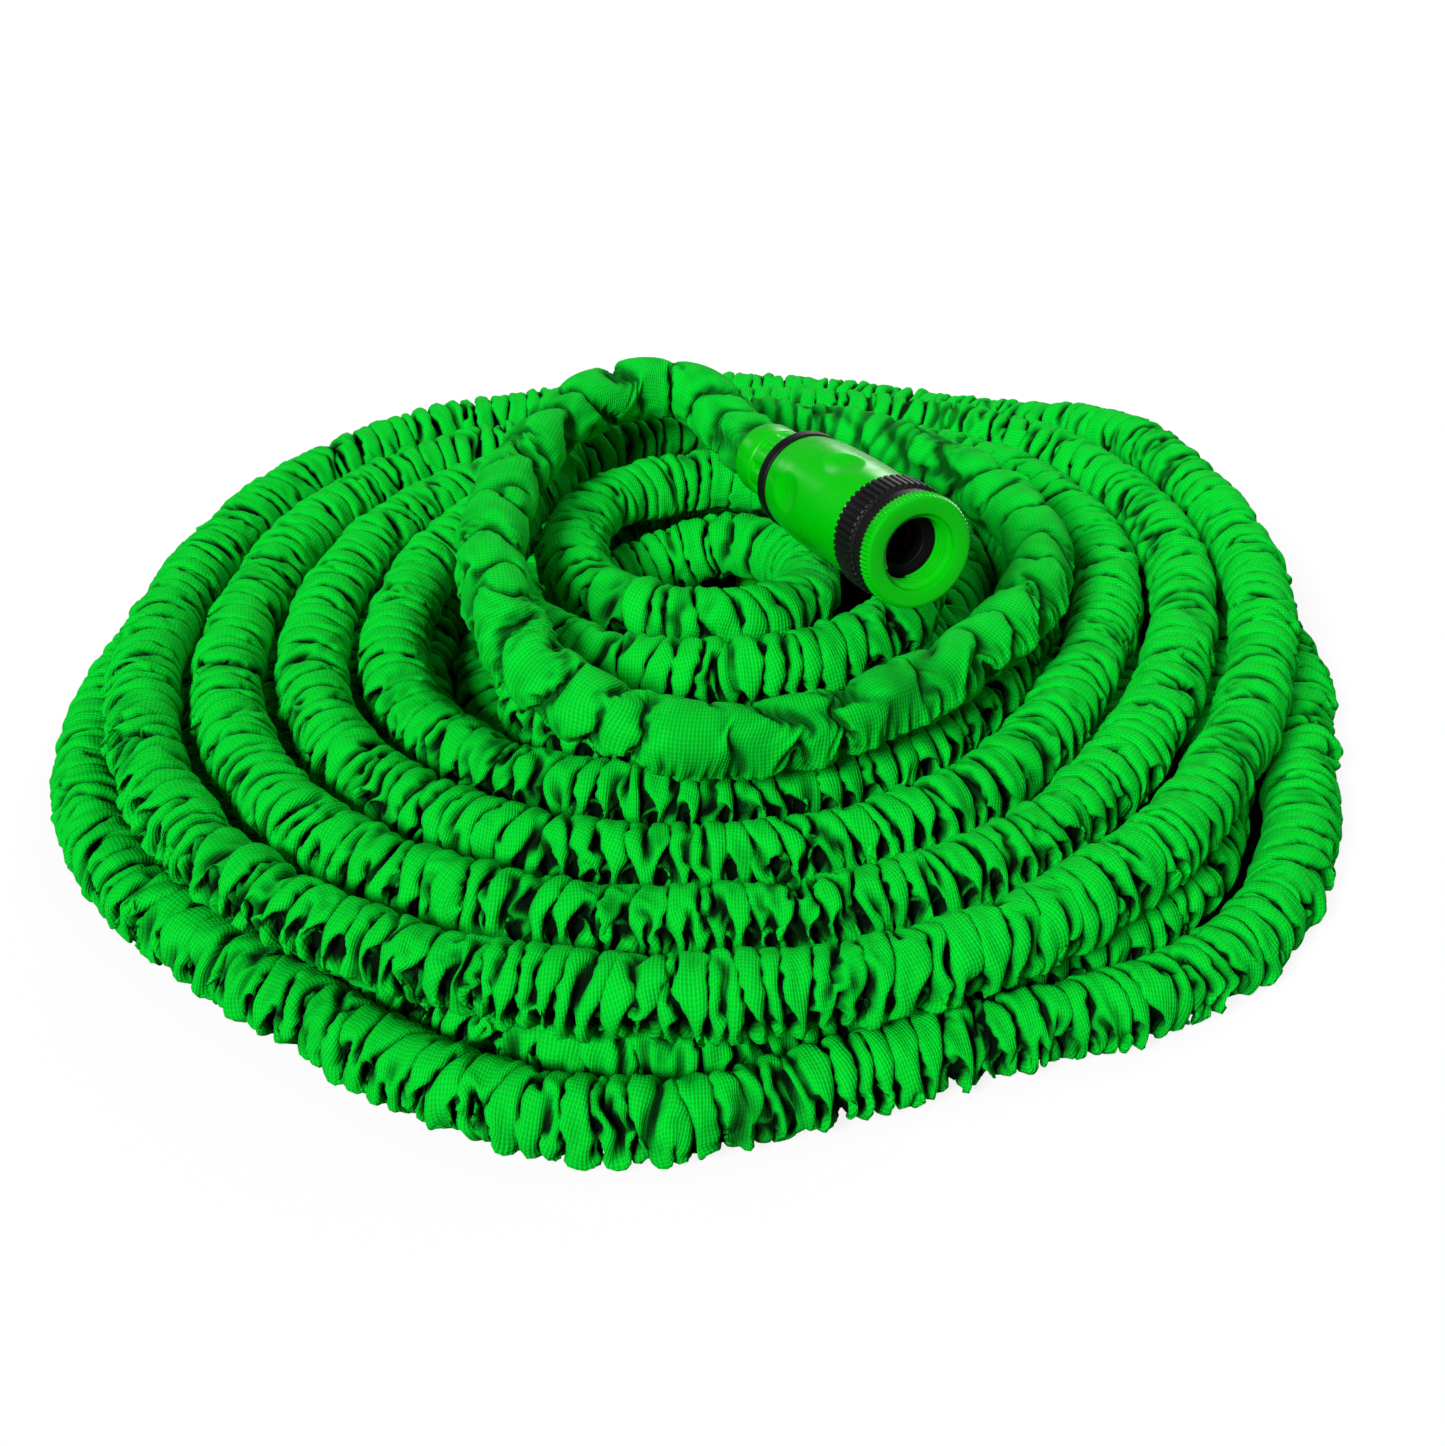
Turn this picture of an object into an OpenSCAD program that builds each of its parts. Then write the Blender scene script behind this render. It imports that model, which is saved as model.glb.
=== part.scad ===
// Expandable garden hose laid in a pile of loops, with a snap connector on
// each end and a tap adaptor with a screw-in reducer on the visible one.
// Millimetres, +Z up, floor at z = 0, the viewer is on the -Y side.

/* [Hose] */
// Width of the contracted fabric sleeve
hose_width = 20.5; // [16:0.1:24]
// Height of the sleeve where it lies on the floor or on another loop
hose_height = 20.0; // [16:0.1:24]
// Width of the bore inside the fabric sleeve
sleeve_bore = 15.2; // [10:0.1:18]
// Free height between one layer of loops and the next
layer_gap = 0.6; // [0.4:0.1:3]
// Radius where the floor layer starts inside the pile
floor_in_r = 71.4; // [50:0.1:90]
// Radius where the floor layer ends at the outside of the pile
floor_out_r = 184.2; // [160:0.1:220]
// Number of turns in the floor layer
floor_turns = 5.194; // [3:0.001:6]
// Mean radius of the upper layer at its start
upper_out_r = 177; // [160:1:210]
// How far the upper layer moves in each turn
upper_pitch = 24; // [21:0.1:28]
// Number of turns in the upper layer
upper_turns = 4.33; // [3:0.01:5]
// Middle of the spirals, to the side of the origin and behind it
pile_at = [-3, 4];

/* [Connector] */
// Largest radius of the pull-back release sleeve
release_r = 15.5; // [13:0.1:18]
// Radius of the black trim ring behind the release sleeve
trim_r = 15.0; // [13:0.1:18]
// Radius of the fluted compression nut
nut_r = 11.0; // [9:0.1:12]
// Radius of the socket that takes the nose of an adaptor
socket_r = 8.05; // [7:0.05:9]
// Radius of the waterway in the hose barb
barb_bore_r = 3.4; // [2:0.1:4]
// Outer radius of the inner tube where it is clamped on the barb
tube_r = 6.4; // [5.5:0.1:7]
// How far the release sleeve pulls back
release_travel = 4.5; // [2:0.1:6]
// How far each locking pawl moves out
pawl_travel = 1.6; // [1:0.1:2.5]

/* [Tap adaptor] */
// Radius of the ribbed collar
collar_r = 16.4; // [15:0.1:18]
// Number of ribs round the collar
collar_ribs = 54; // [30:1:72]
// Radius of the knurled rim of the reducer
rim_r = 16.0; // [15:0.1:18]
// Number of scallops round the reducer rim
rim_scallops = 40; // [24:1:60]
// Mean wall radius of the three-quarter inch tap thread
tap_thread_r = 13.1; // [12:0.05:13.3]
// Mean wall radius of the half inch thread in the reducer
reducer_bore_r = 9.9; // [9.3:0.05:10.5]
// Radius of the undercut seat that holds the reducer's washer
washer_seat_r = 10.2; // [9.9:0.05:11]
// Running clearance of the sliding and turning parts
run_gap = 0.05; // [0.03:0.01:0.1]

/* [Connector places] */
// Point on the tap end axis at the trim ring
tap_at = [29.8, -6.8, 78.9];
// Climb of the tap end axis above level
tap_climb = 9.8; // [0:0.1:20]
// Heading of the tap end axis seen from above
tap_heading = -66.1; // [-90:0.1:0]
// Point on the far end axis at the trim ring
far_at = [25, 4, 15.8];

/* [Hidden] */
$fn = 64;
eps = 0.01;
hw = hose_width / 2;
hh = hose_height / 2;
bw = sleeve_bore / 2;
bh = bw - 0.2;
z1 = hh;
z2 = z1 + hose_height + layer_gap;
z3 = z2 + hose_height + layer_gap;
rings = 24;
sides = 6;
floor_start = 270;
climb_turns = 0.5;
cam_slope = pawl_travel / release_travel;

// ---- the line the hose follows, far end first, clockwise from above ----
// floor layer: spirals out, drawn in at the back left; its two outermost turns
// bulge and wave at the front, and the last one has a corner on the left
function step(x) = let(c = max(0, min(1, x))) c * c * (3 - 2 * c);
function lobe(a, c) = pow(max(0, cos(a - c)), 2);
function bulge(f, a) = let(g = f - floor(f))
  step((f + 1.7) / 1.8) * ((24 - 21 * g) * step((g - 0.42) / 0.14) * step((1 - g) / 0.08)
    + lobe(a, -71) * (6.5 + 8.5 * cos(6 * (a + 40))))
  + (f > 0.5 ? 12 * pow(lobe(a, 203), 8) : 0);
function floor_r(t, a) = floor_in_r + (floor_out_r - floor_in_r) * t / floor_turns
  - 12 * lobe(a, 165) + bulge(t - (floor_turns - 1), a);
function floor_pt(t) = let(a = floor_start - 360 * t, r = floor_r(t, a))
  [pile_at.x + r * cos(a), pile_at.y + r * sin(a), z1];
// upper layer: spirals in, flattened at the back and bulging to the back right
function upper_r(t, a) = upper_out_r - upper_pitch * t + (0.9 * t - 10.8) * sin(a)
  + 3.6 * cos(2 * a) + (5.2 - 0.3 * t) * sin(2 * a) + 0.9 * cos(3 * a) + 5 * sin(3 * a)
  - 2.4 * cos(4 * a) + 1.6 * sin(4 * a);
upper_start = floor_start - 360 * (floor_turns + climb_turns);
upper_t0 = 25 / 360;
function upper_pt(t) = let(a = upper_start - 360 * t, r = upper_r(upper_t0 + t, a))
  [pile_at.x + r * cos(a), pile_at.y + r * sin(a), z2];
// the half turn between them stays low behind the pile, then climbs one layer
function climb_pt(u) = let(t = floor_turns + climb_turns * u, a = floor_start - 360 * t,
  rf = floor_r(t, a), rb = upper_r(upper_t0 - climb_turns * (1 - u), a),
  r = rf + (rb - rf) * step((u - 0.87) / 0.13), z = z1 + (z2 - z1) * step((u - 0.75) / 0.2))
  [pile_at.x + r * cos(a), pile_at.y + r * sin(a), z];
n1 = round(floor_turns * rings);
n2 = round(climb_turns * rings);
n3 = round(upper_turns * rings);
coil_path = concat([for (i = [0:n1]) floor_pt(floor_turns * i / n1)],
  [for (i = [1:n2 - 1]) climb_pt(i / n2)],
  [for (i = [0:n3]) upper_pt(upper_turns * i / n3)]);

// top loops: a line through chosen points, then straight into the nut
top_pts = [
  [-43, -62, 30.8], [-51, -32, 30.8], [-42, -3, 31.2], [-23, 17, 33], [4, 23, 40],
  [26, 10, 43.5], [31, -14, 46], [19, -36, 50], [-3, -42, 52.5], [-27, -32, 52.5],
  [-40, -8, 52.5], [-35, 22, 53], [-12, 43, 51], [17, 46, 51.2], [45, 30, 51.5], [61, -2, 52],
  [57, -38, 52], [34, -61, 52], [2, -69, 52], [-32, -61, 52], [-57, -37, 52], [-65, -1, 52],
  [-55, 39, 52], [-29, 71, 52.5], [10, 84, 52.5], [53, 74, 52.5], [86, 44, 52.5],
  [101, 8, 52.5], [96, -26, 52.5], [78, -57, 53], [51, -84, 54], [17, -102, 55],
  [-15, -104, 58.5], [-42, -88, 65], [-58, -55, 72], [-60, -19, 75], [-53, 15, 77.5],
  [-40, 43, 78.5], [-19, 60, 77.5], [0, 56, 75]];
tv = [cos(tap_climb) * cos(tap_heading), cos(tap_climb) * sin(tap_heading), sin(tap_climb)];
function tap_pt(s) = tap_at + s * tv;
lead_ctrl = concat([upper_pt(upper_turns - 2 / 24), upper_pt(upper_turns)], top_pts,
  [tap_pt(-47), tap_pt(-36)]);
function spline(p, i, u) = let(a = p[i - 1], b = p[i], c = p[i + 1], d = p[i + 2])
  0.5 * (2 * b + (c - a) * u + (2 * a - 5 * b + 4 * c - d) * u * u
  + (3 * b - a - 3 * c + d) * u * u * u);
function run(p, k, last) = [for (i = [1:len(p) - 3]) for (j = [0:k - 1]) spline(p, i, j / k)];
end_s = [-47, -40, -33, -28.5, -26.2, -20, -13.2];
end_w = [hw, hw, hw, hw, 8.7, 8.7, 8.7];
lead_path = concat(run(lead_ctrl, 2), [for (s = end_s) tap_pt(s)]);

// far end: straight out of its nut, down to the floor, round into the spiral
function far_pt(s) = far_at + [0, s, 0];
tail_pts = [[23.5, -50.5, 11.6], [17.5, -58.8, 10], [7.5, -65, 10]];
tail_ctrl = concat([far_pt(-36), far_pt(-47)], tail_pts, [floor_pt(0), floor_pt(1 / 24)]);
tail_path = concat([for (i = [6:-1:1]) far_pt(end_s[i])], run(tail_ctrl, 3), [floor_pt(0)]);

// ---- sweep of a six sided tube with a six sided bore along a line ----
function unit(v) = v / norm(v);
function cross_sec(p, t, w, h) = let(n = unit(cross(t, [0, 0, 1])), u = cross(n, t))
  [for (k = [0:sides - 1]) let(a = 360 * k / sides)
    p + n * w * cos(a) + u * h * (abs(sin(a)) > 0.5 ? sign(sin(a)) : 0)];
function tangent(p, i) = unit(p[min(i + 1, len(p) - 1)] - p[max(i - 1, 0)]);
module hose(path, ws, t_in = undef, t_out = undef) {
  n = len(path);
  tan = [for (i = [0:n - 1]) i == 0 && t_in != undef ? t_in
    : i == n - 1 && t_out != undef ? t_out : tangent(path, i)];
  // where it narrows, its corners stay inside the round nut
  hs = [for (w = ws) hh - 1.55 * (hw - w)];
  outer = [for (i = [0:n - 1]) each cross_sec(path[i], tan[i], ws[i], hs[i])];
  inner = [for (i = [0:n - 1]) each cross_sec(path[i], tan[i],
    min(bw, ws[i] - 1.1), min(bh, hs[i] - 1.1))];
  m = n * sides;
  q = [for (i = [0:n - 2]) for (k = [0:sides - 1]) [i * sides + k, i * sides + (k + 1) % sides,
    (i + 1) * sides + k, (i + 1) * sides + (k + 1) % sides]];
  side = [for (f = q) each [[f[0], f[1], f[2]], [f[1], f[3], f[2]]]];
  hole = [for (f = q) each [[m + f[0], m + f[2], m + f[1]], [m + f[1], m + f[2], m + f[3]]]];
  e = (n - 1) * sides;
  caps = [for (k = [0:sides - 1]) let(j = (k + 1) % sides)
    each [[k, m + k, j], [j, m + k, m + j],
      [e + k, e + j, m + e + k], [e + j, m + e + j, m + e + k]]];
  polyhedron(points = concat(outer, inner), faces = concat(side, hole, caps), convexity = 12);
}
// least free gap between one loop and any other: nearest points of two pieces
// of the line, less what each section reaches along the line between them
all_path = concat(tail_path, [for (i = [1:len(coil_path) - 1]) coil_path[i]],
  [for (i = [1:len(lead_path) - 1]) lead_path[i]]);
segs = len(all_path) - 2;
mids = [for (i = [0:segs]) (all_path[i] + all_path[i + 1]) / 2];
lens = [for (i = [0:segs]) norm(all_path[i + 1] - all_path[i])];
function on_seg(i, q) = let(a = all_path[i], d = all_path[i + 1] - a)
  a + d * max(0, min(1, (q - a) * d / (d * d)));
function near(i, j, q, k) = k == 0 ? [on_seg(j, q), q] : near(i, j, on_seg(i, on_seg(j, q)), k - 1);
function reach(i, d) = let(t = (all_path[i + 1] - all_path[i]) / lens[i],
  n = unit(cross(t, [0, 0, 1])), u = cross(n, t), x = abs(d * n), y = abs(d * u))
  max(x * hw, x * hw / 2 + y * hh);
function gap(i, j) = let(pq = near(i, j, mids[i], 12), v = pq[0] - pq[1], d = unit(v),
  flat = norm([v.x, v.y]) > 0.1 ? unit([v.x, v.y, 0]) : d)
  max([for (e = [d, flat, [0, 0, 1]]) abs(v * e) - reach(i, e) - reach(j, e)]);
gaps = [for (i = [0:segs]) for (j = [i + 5:segs])
  if (norm(mids[j] - mids[i]) < 24 + (lens[i] + lens[j]) / 2) let(g = gap(i, j)) if (g < 2) [g, i, j]];
least_gap = min([for (g = gaps) g[0]]);
echo(least_gap = least_gap);
function path_len(p) = let(d = [for (i = [1:len(p) - 1]) norm(p[i] - p[i - 1])])
  d * [for (x = d) 1];
echo(length = path_len(all_path), coil = path_len(coil_path), lead = path_len(lead_path));

module hose_coil() color([0, 0.78, 0.12]) hose(coil_path, [for (p = coil_path) hw],
  unit(floor_pt(0.01) - floor_pt(0)),
  unit(upper_pt(upper_turns) - upper_pt(upper_turns - 0.01)));
module hose_lead() color([0, 0.80, 0.14]) hose(lead_path,
  concat([for (i = [1:len(lead_path) - 7]) hw], end_w),
  unit(upper_pt(upper_turns) - upper_pt(upper_turns - 0.01)), tv);
module hose_tail() color([0, 0.78, 0.12]) hose(tail_path,
  concat([for (i = [6:-1:1]) end_w[i]], [for (i = [1:len(tail_path) - 6]) hw]),
  [0, -1, 0], unit(floor_pt(0.01) - floor_pt(0)));

// ---- fittings, drawn along +Z with the trim ring at z = 0, mouth up ----
module at_tap() translate(tap_at) rotate([0, 90 - tap_climb, tap_heading]) children();
module at_far() translate(far_at) rotate([-90, 0, 0]) children();
module tube(r, ri, a, b) translate([0, 0, a]) difference() {
  cylinder(r = r, h = b - a);
  translate([0, 0, -1]) cylinder(r = ri, h = b - a + 2);
}
module inner_tube() color([0.85, 0.82, 0.70]) tube(tube_r, 5.1, -33, -4);
module nut() color([0, 0.72, 0.08]) difference() {
  rotate_extrude() polygon([[8.9, -26], [10.2, -26], [10.7, -25.4], [nut_r, -24], [nut_r, -18],
    [nut_r - 0.5, -17.2], [nut_r, -16.4], [nut_r, -4], [nut_r - 0.6, -2.5], [9.45, -2.5],
    [9.45, -13], [8.9, -13]]);
  for (i = [0:9]) rotate([0, 0, 36 * i]) translate([nut_r + 1.3, 0, -15.8])
    cylinder(r = 2.2, h = 10.6);
}
module grip_ring() color([0.88, 0.88, 0.86]) difference() {
  union() { tube(9.35, 6.45, -12.8, -9.4); tube(7.75, 6.45, -9.4, -4.6); }
  for (i = [0:1]) rotate([0, 0, 90 * i]) translate([-9, -0.6, -9]) cube([18, 1.2, 5]);
}
module core() color([0.05, 0.05, 0.05]) difference() {
  union() {
    rotate_extrude() polygon([[barb_bore_r, -24], [4.2, -24], [5.0, -22.5], [4.7, -21.5],
      [4.7, -18.5], [5.0, -17], [4.7, -16], [4.7, -12], [5.0, -10.5], [4.7, -9.5], [4.7, -3],
      [7.9, -3], [7.9, -9], [9.4, -9], [9.4, -2.4], [10.9, -2.4], [10.9, 2], [13.1, 2],
      [13.1, 4.5], [10.9, 6], [10.9, 46], [10.4, 46.5], [socket_r, 46.5], [socket_r, 16],
      [6, 16], [barb_bore_r, 10]]);
  }
  for (i = [0:2]) rotate([0, 0, 120 * i]) translate([6.5, -2.6, 32.8]) cube([6, 5.2, 5.8]);
}
module release_sleeve() color([0, 0.74, 0.08]) difference() {
  rotate_extrude() polygon([[13.2, 1.5], [14.2, 1.5], [14.6, 2.2], [15.0, 6], [release_r, 16],
    [release_r, 34], [15.3, 44], [15.2, 47.4], [14.7, 48.6], [13.75, 48.6], [13.75, 44.1],
    [11.75, 38.5], [11.75, 26], [13.2, 24.5]]);
  for (i = [0:5]) rotate([0, 0, 60 * i + 12]) translate([28.4, 0, i % 2 == 0 ? 17 : 31])
    sphere(r = 14);
}
module trim_ring() color([0.04, 0.04, 0.04]) rotate_extrude() polygon([[11.5, -1.4],
  [trim_r - 0.5, -1.4], [trim_r, -0.8], [trim_r, 0.9], [trim_r - 0.5, 1.45], [11.5, 1.45]]);
module pawl(i) color([0.85, 0.85, 0.82]) rotate([0, 0, 120 * i])
  translate([0, 2.5, 0]) rotate([90, 0, 0]) linear_extrude(height = 5)
  polygon([[6.9, 33.4], [6.9, 38.4], [11.4, 38.4], [11.4 - 5.5 * cam_slope, 32.9], [7.4, 32.9]]);

// collar ribs and rim scallops as even toothed outlines
function teeth(n, ro, ri) = [for (i = [0:n - 1]) let(a = 360 / n * i, b = 360 / n)
  each [[ro * cos(a - 0.28 * b), ro * sin(a - 0.28 * b)], [ro * cos(a + 0.28 * b), ro * sin(a + 0.28 * b)],
    [ri * cos(a + 0.42 * b), ri * sin(a + 0.42 * b)], [ri * cos(a + 0.58 * b), ri * sin(a + 0.58 * b)]]];
module adaptor() color([0.05, 0.05, 0.05]) difference() {
  union() {
    rotate_extrude() polygon([[4.6, 16.8], [7.3, 16.8], [7.95, 18], [7.95, 22], [6.05, 22],
      [6.05, 24.2], [7.95, 24.2], [7.95, 32.2], [6.7, 32.2], [6.7, 39.2], [7.95, 39.2],
      [7.95, 47], [9.5, 49.4], [15.6, 49.4], [15.6, 59], [15.2, 59], [15.2, 63.4], [4.6, 63.4]]);
    translate([0, 0, 49.9]) linear_extrude(height = 9.1)
      polygon(teeth(collar_ribs, collar_r, collar_r - 0.6));
  }
  translate([0, 0, 53]) cylinder(r = tap_thread_r, h = 12);
}
module adaptor_o_ring() color([0.1, 0.1, 0.1]) translate([0, 0, 23.1]) rotate_extrude()
  translate([7.05, 0]) circle(r = 0.94);
module adaptor_washer() color([0.12, 0.12, 0.12]) tube(12.9, 6.6, 53.02, 54.5);
module reducer() color([0, 0.76, 0.08]) difference() {
  union() {
    translate([0, 0, 54.6]) cylinder(r = tap_thread_r - run_gap, h = 9.4);
    translate([0, 0, 63.6]) cylinder(r = rim_r - 1.0, h = 4.4);
    translate([0, 0, 64]) linear_extrude(height = 3.5)
      polygon(teeth(rim_scallops, rim_r, rim_r - 0.7));
  }
  translate([0, 0, 54]) cylinder(r = 6.5, h = 4);
  translate([0, 0, 57]) cylinder(r = washer_seat_r, h = 1.7);
  translate([0, 0, 57]) cylinder(r = reducer_bore_r, h = 12);
  translate([0, 0, 67.2]) cylinder(r1 = reducer_bore_r, r2 = reducer_bore_r + 0.9, h = 0.9);
}
module reducer_washer() color([0.12, 0.12, 0.12])
  tube(washer_seat_r - 0.1, 6.6, 57.02, 58.6);

hose_coil();
hose_lead();
hose_tail();
at_tap() inner_tube();  // inner_tube_tap_end
at_far() inner_tube();  // inner_tube_far_end
at_tap() nut();  // nut_tap_end
at_tap() grip_ring();  // grip_ring_tap_end
at_tap() core();  // core_tap_end
at_tap() release_sleeve();  // release_sleeve_tap_end
at_tap() trim_ring();  // trim_ring_tap_end
at_tap() pawl(0);  // pawl_a_tap_end
at_tap() pawl(1);  // pawl_b_tap_end
at_tap() pawl(2);  // pawl_c_tap_end
at_far() nut();  // nut_far_end
at_far() grip_ring();  // grip_ring_far_end
at_far() core();  // core_far_end
at_far() release_sleeve();  // release_sleeve_far_end
at_far() trim_ring();  // trim_ring_far_end
at_far() pawl(0);  // pawl_a_far_end
at_far() pawl(1);  // pawl_b_far_end
at_far() pawl(2);  // pawl_c_far_end
at_tap() adaptor();
at_tap() adaptor_o_ring();
at_tap() adaptor_washer();
at_tap() reducer();
at_tap() reducer_washer();
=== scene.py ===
import math
import bmesh
import bpy
import numpy as np
from mathutils import Matrix, Vector


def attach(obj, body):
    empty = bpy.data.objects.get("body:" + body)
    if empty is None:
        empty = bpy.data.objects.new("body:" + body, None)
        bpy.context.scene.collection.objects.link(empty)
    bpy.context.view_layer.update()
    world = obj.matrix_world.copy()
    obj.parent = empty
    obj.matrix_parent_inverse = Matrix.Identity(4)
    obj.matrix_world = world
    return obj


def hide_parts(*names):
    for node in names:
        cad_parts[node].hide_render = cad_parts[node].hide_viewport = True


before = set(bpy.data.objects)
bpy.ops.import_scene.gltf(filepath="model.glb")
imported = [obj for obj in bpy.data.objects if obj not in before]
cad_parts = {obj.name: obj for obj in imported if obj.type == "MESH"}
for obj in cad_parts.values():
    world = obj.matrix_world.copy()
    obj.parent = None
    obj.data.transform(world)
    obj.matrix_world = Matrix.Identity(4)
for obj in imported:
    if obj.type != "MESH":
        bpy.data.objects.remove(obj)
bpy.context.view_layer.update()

# ---------------------------------------------------------------- viewpoint
# A person standing a step away looks down on the pile at 35 degrees, with a
# lens a little longer than the eye's. The frame is square.
aim = Vector((0.005, -0.017, 0.0))
distance, look_down = 0.600, math.radians(35)
frame_px, focal_px = 1445, 1920


def in_scene(name, data):
    placed = bpy.data.objects.new(name, data)
    bpy.context.scene.collection.objects.link(placed)
    return placed


eye = aim + distance * Vector((0, -math.cos(look_down), math.sin(look_down)))
lens = bpy.data.cameras.new("viewpoint")
lens.sensor_fit = "HORIZONTAL"
lens.sensor_width = 36
lens.lens = lens.sensor_width * focal_px / frame_px
lens.clip_start = 0.01
lens.clip_end = 20
viewpoint = in_scene("viewpoint", lens)
viewpoint.matrix_world = (Matrix.Translation(eye)
                          @ (aim - eye).to_track_quat("-Z", "Y").to_matrix().to_4x4())
bpy.context.scene.camera = viewpoint
bpy.context.scene.view_settings.view_transform = "Standard"

# ------------------------------------------------------------- fabric sleeve
# The outside of the hose is a knitted polyester sleeve, cut two and a half
# times as long as the slack hose, so the empty hose gathers it into folds. It
# lies in two flat layers of loops with two more passes and a top loop on them.
to_m = 0.001
tap_at, tap_climb, tap_heading = np.array([29.8, -6.8, 78.9]), 9.8, -66.1
far_at = np.array([25.0, 4.0, 15.8])
pile_x, pile_y = -3, 4
floor_turns, floor_in_r, floor_out_r, floor_z = 5.194, 71.4, 184.2, 10.0
upper_turns, upper_out_r, upper_per_turn, upper_z = 4.33, 177, 24, 30.6
climb_turns = 0.5


def step(x):
    c = np.clip(x, 0, 1)
    return c * c * (3 - 2 * c)


# One soft bump on the side of the pile that lies at the given bearing.
def lobe(angle, bearing):
    return np.maximum(0, np.cos(np.radians(angle - bearing))) ** 2


def ring_at(angle, r, z):
    x = pile_x + r * np.cos(np.radians(angle))
    y = pile_y + r * np.sin(np.radians(angle))
    return np.stack([x, y, z + 0 * angle], -1)


# The floor layer is a spiral that runs outwards. Its last turns stray from it:
# outwards for half a turn, in waves at the front and in one bulge on the left.
def stray(turns_in, angle):
    part = turns_in - np.floor(turns_in)
    outward = (24 - 21 * part) * step((part - 0.42) / 0.14) * step((1 - part) / 0.08)
    waves = lobe(angle, -71) * (6.5 + 8.5 * np.cos(np.radians(6 * (angle + 40))))
    left = np.where(turns_in > 0.5, 12 * lobe(angle, 203) ** 8, 0)
    return step((turns_in + 1.7) / 1.8) * (outward + waves) + left


def floor_r(t, angle):
    return (floor_in_r + (floor_out_r - floor_in_r) * t / floor_turns
            - 12 * lobe(angle, 165) + stray(t - (floor_turns - 1), angle))


def floor_line(t):
    angle = 270 - 360 * t
    return ring_at(angle, floor_r(t, angle), floor_z)


# The upper layer is a spiral that runs inwards, a little lopsided all round.
def upper_r(t, angle):
    sine = [np.sin(np.radians(k * angle)) for k in range(5)]
    cosine = [np.cos(np.radians(k * angle)) for k in range(5)]
    return (upper_out_r - upper_per_turn * t + (0.9 * t - 10.8) * sine[1] + 3.6 * cosine[2]
            + (5.2 - 0.3 * t) * sine[2] + 0.9 * cosine[3] + 5 * sine[3] - 2.4 * cosine[4] + 1.6 * sine[4])


upper_start, upper_lead_in = 270 - 360 * (floor_turns + climb_turns), 25 / 360


def upper_line(t):
    angle = upper_start - 360 * t
    return ring_at(angle, upper_r(upper_lead_in + t, angle), upper_z)


# Between the layers it follows the floor for half a turn more, and climbs at
# the end of it.
def climb_line(u):
    t = floor_turns + climb_turns * u
    angle = 270 - 360 * t
    low, high = floor_r(t, angle), upper_r(upper_lead_in - climb_turns * (1 - u), angle)
    r = low + (high - low) * step((u - 0.87) / 0.13)
    return ring_at(angle, r, floor_z + (upper_z - floor_z) * step((u - 0.75) / 0.2))


climbing, swung = math.radians(tap_climb), math.radians(tap_heading)
tap_dir = np.array([math.cos(climbing) * math.cos(swung), math.cos(climbing) * math.sin(swung),
                    math.sin(climbing)])
far_dir = np.array([0.0, 1.0, 0.0])
tail_points = [[23.5, -50.5, 11.6], [17.5, -58.8, 10], [7.5, -65, 10]]
top_points = [
    [-43, -62, 30.8], [-51, -32, 30.8], [-42, -3, 31.2], [-23, 17, 33], [4, 23, 40],
    [26, 10, 43.5], [31, -14, 46], [19, -36, 50], [-3, -42, 52.5], [-27, -32, 52.5],
    [-40, -8, 52.5], [-35, 22, 53], [-12, 43, 51], [17, 46, 51.2], [45, 30, 51.5], [61, -2, 52],
    [57, -38, 52], [34, -61, 52], [2, -69, 52], [-32, -61, 52], [-57, -37, 52], [-65, -1, 52],
    [-55, 39, 52], [-29, 71, 52.5], [10, 84, 52.5], [53, 74, 52.5], [86, 44, 52.5],
    [101, 8, 52.5], [96, -26, 52.5], [78, -57, 53], [51, -84, 54], [17, -102, 55],
    [-15, -104, 58.5], [-42, -88, 65], [-58, -55, 72], [-60, -19, 75], [-53, 15, 77.5],
    [-40, 43, 78.5], [-19, 60, 77.5], [0, 56, 75]]


def through(points, per_gap=24):
    p, out = np.array(points, float), []
    u = np.arange(per_gap)[:, None] / per_gap
    for i in range(1, len(p) - 2):
        a, b, c, d = p[i - 1:i + 3]
        out.append(0.5 * (2 * b + (c - a) * u + (2 * a - 5 * b + 4 * c - d) * u * u
                          + (3 * b - a - 3 * c + d) * u ** 3))
    return np.concatenate(out)


def along(at, direction, s):
    return at + np.asarray(s, float)[:, None] * direction


def length_along(p):
    return np.concatenate([[0], np.cumsum(np.linalg.norm(np.diff(p, axis=0), axis=1))])


def evenly(p, count):
    s = length_along(p)
    t = np.linspace(0, s[-1], count)
    return np.stack([np.interp(t, s, p[:, k]) for k in range(3)], -1)


# Places along a connector's axis count from between its nut and its release
# sleeve. The fabric ends in the nut, and runs straight for a while behind it.
sleeve_end, straight_to, part_turn = -13.2, -47, 1 / 24
tail_way = [along(far_at, far_dir, [straight_to + 11, straight_to]), tail_points,
            floor_line(np.array([0, part_turn]))]
lead_way = [upper_line(np.array([upper_turns - 2 * part_turn, upper_turns])), top_points,
            along(tap_at, tap_dir, [straight_to, straight_to + 11])]
tail_line = np.concatenate([along(far_at, far_dir, np.linspace(sleeve_end, straight_to + 1, 40)),
                            through(np.concatenate(tail_way))])
coil_line = np.concatenate([floor_line(np.linspace(0, floor_turns, 6000)),
                            climb_line(np.linspace(0, 1, 700)[1:-1]),
                            upper_line(np.linspace(0, upper_turns, 4000))])
lead_line = np.concatenate([through(np.concatenate(lead_way))[1:],
                            along(tap_at, tap_dir, np.linspace(straight_to, sleeve_end, 40))])
tail_mm, coil_mm, lead_mm = (length_along(p)[-1] for p in (tail_line, coil_line, lead_line))
hose_mm = tail_mm + coil_mm + lead_mm

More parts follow.
